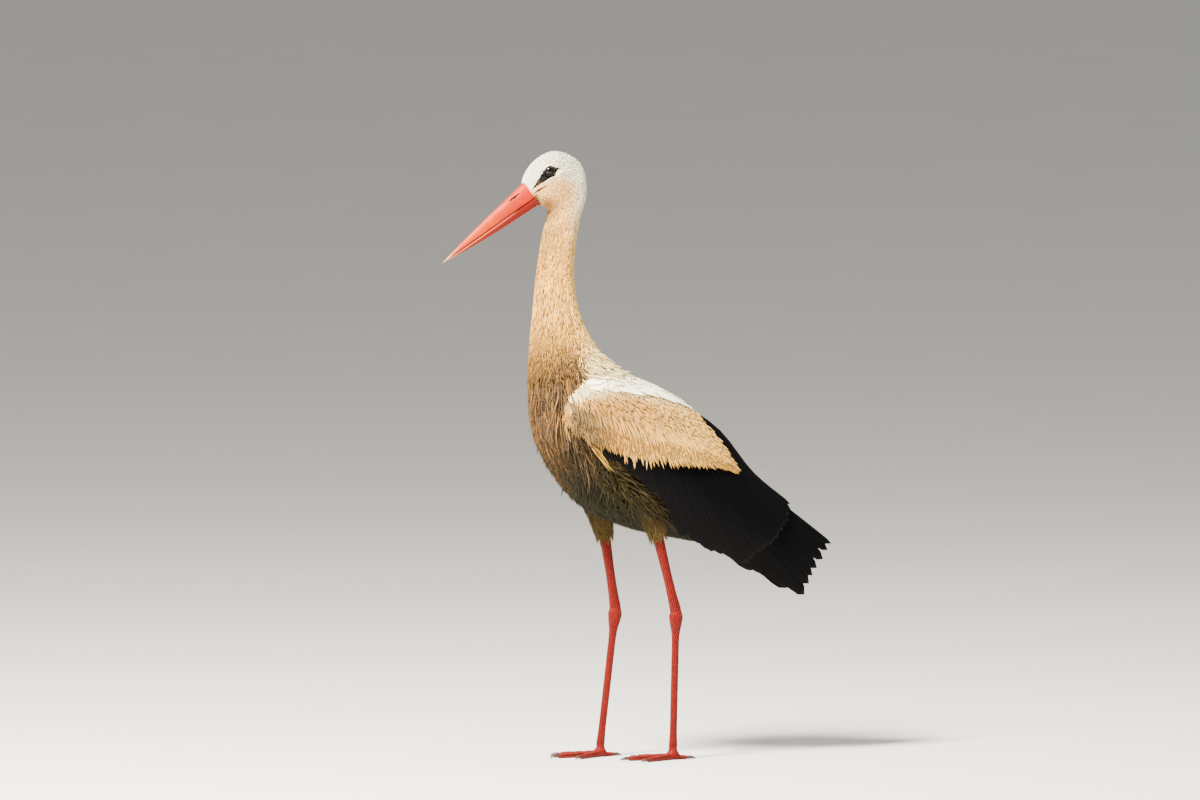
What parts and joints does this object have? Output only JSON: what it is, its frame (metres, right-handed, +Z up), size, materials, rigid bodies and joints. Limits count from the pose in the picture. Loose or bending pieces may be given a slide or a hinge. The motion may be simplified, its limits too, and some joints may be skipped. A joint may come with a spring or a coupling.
{
  "type": "white stork",
  "caption": "Life-size still model of a standing white stork with its neck upright, its bill pointing down and forward and its wings folded.",
  "frame": {"origin": "on the floor, at the bottom centre of the whole bird's box", "axes": "the bird faces -Y, its left side is +X and +Z is up"},
  "size_m": [0.2194, 0.6418, 0.942],
  "materials": {
    "white_feathers": "soft matte plumage, near white to cream",
    "buff_feathers": "soft matte plumage, cream to warm brown",
    "black_feathers": "smooth black flight feathers with a faint cool gloss",
    "bill_horn": "satin orange-red horn, paler at the tip",
    "leg_skin": "scaled red skin, satin",
    "claw_horn": "dark brown horn",
    "eye": "wet dark eye"
  },
  "bodies": {
    "root": {"head": "white_feathers", "neck_upper": "buff_feathers", "neck_lower": "buff_feathers", "trunk": "buff_feathers", "tail": "white_feathers", "bill_upper": "bill_horn", "bill_lower": "bill_horn", "eye_left": "eye", "eye_right": "eye", "wing_left": "white_feathers", "wing_secondaries_left": "black_feathers", "wing_primaries_left": "black_feathers", "thigh_left": "buff_feathers", "shank_left": "leg_skin", "tarsus_left": "leg_skin", "foot_left": "leg_skin", "toe_left_inner": "leg_skin", "claw_left_inner": "claw_horn", "toe_left_middle": "leg_skin", "claw_left_middle": "claw_horn", "toe_left_outer": "leg_skin", "claw_left_outer": "claw_horn", "toe_left_hind": "leg_skin", "claw_left_hind": "claw_horn", "wing_right": "white_feathers", "wing_secondaries_right": "black_feathers", "wing_primaries_right": "black_feathers", "thigh_right": "buff_feathers", "shank_right": "leg_skin", "tarsus_right": "leg_skin", "foot_right": "leg_skin", "toe_right_inner": "leg_skin", "claw_right_inner": "claw_horn", "toe_right_middle": "leg_skin", "claw_right_middle": "claw_horn", "toe_right_outer": "leg_skin", "claw_right_outer": "claw_horn", "toe_right_hind": "leg_skin", "claw_right_hind": "claw_horn"}
  },
  "joints": []
}
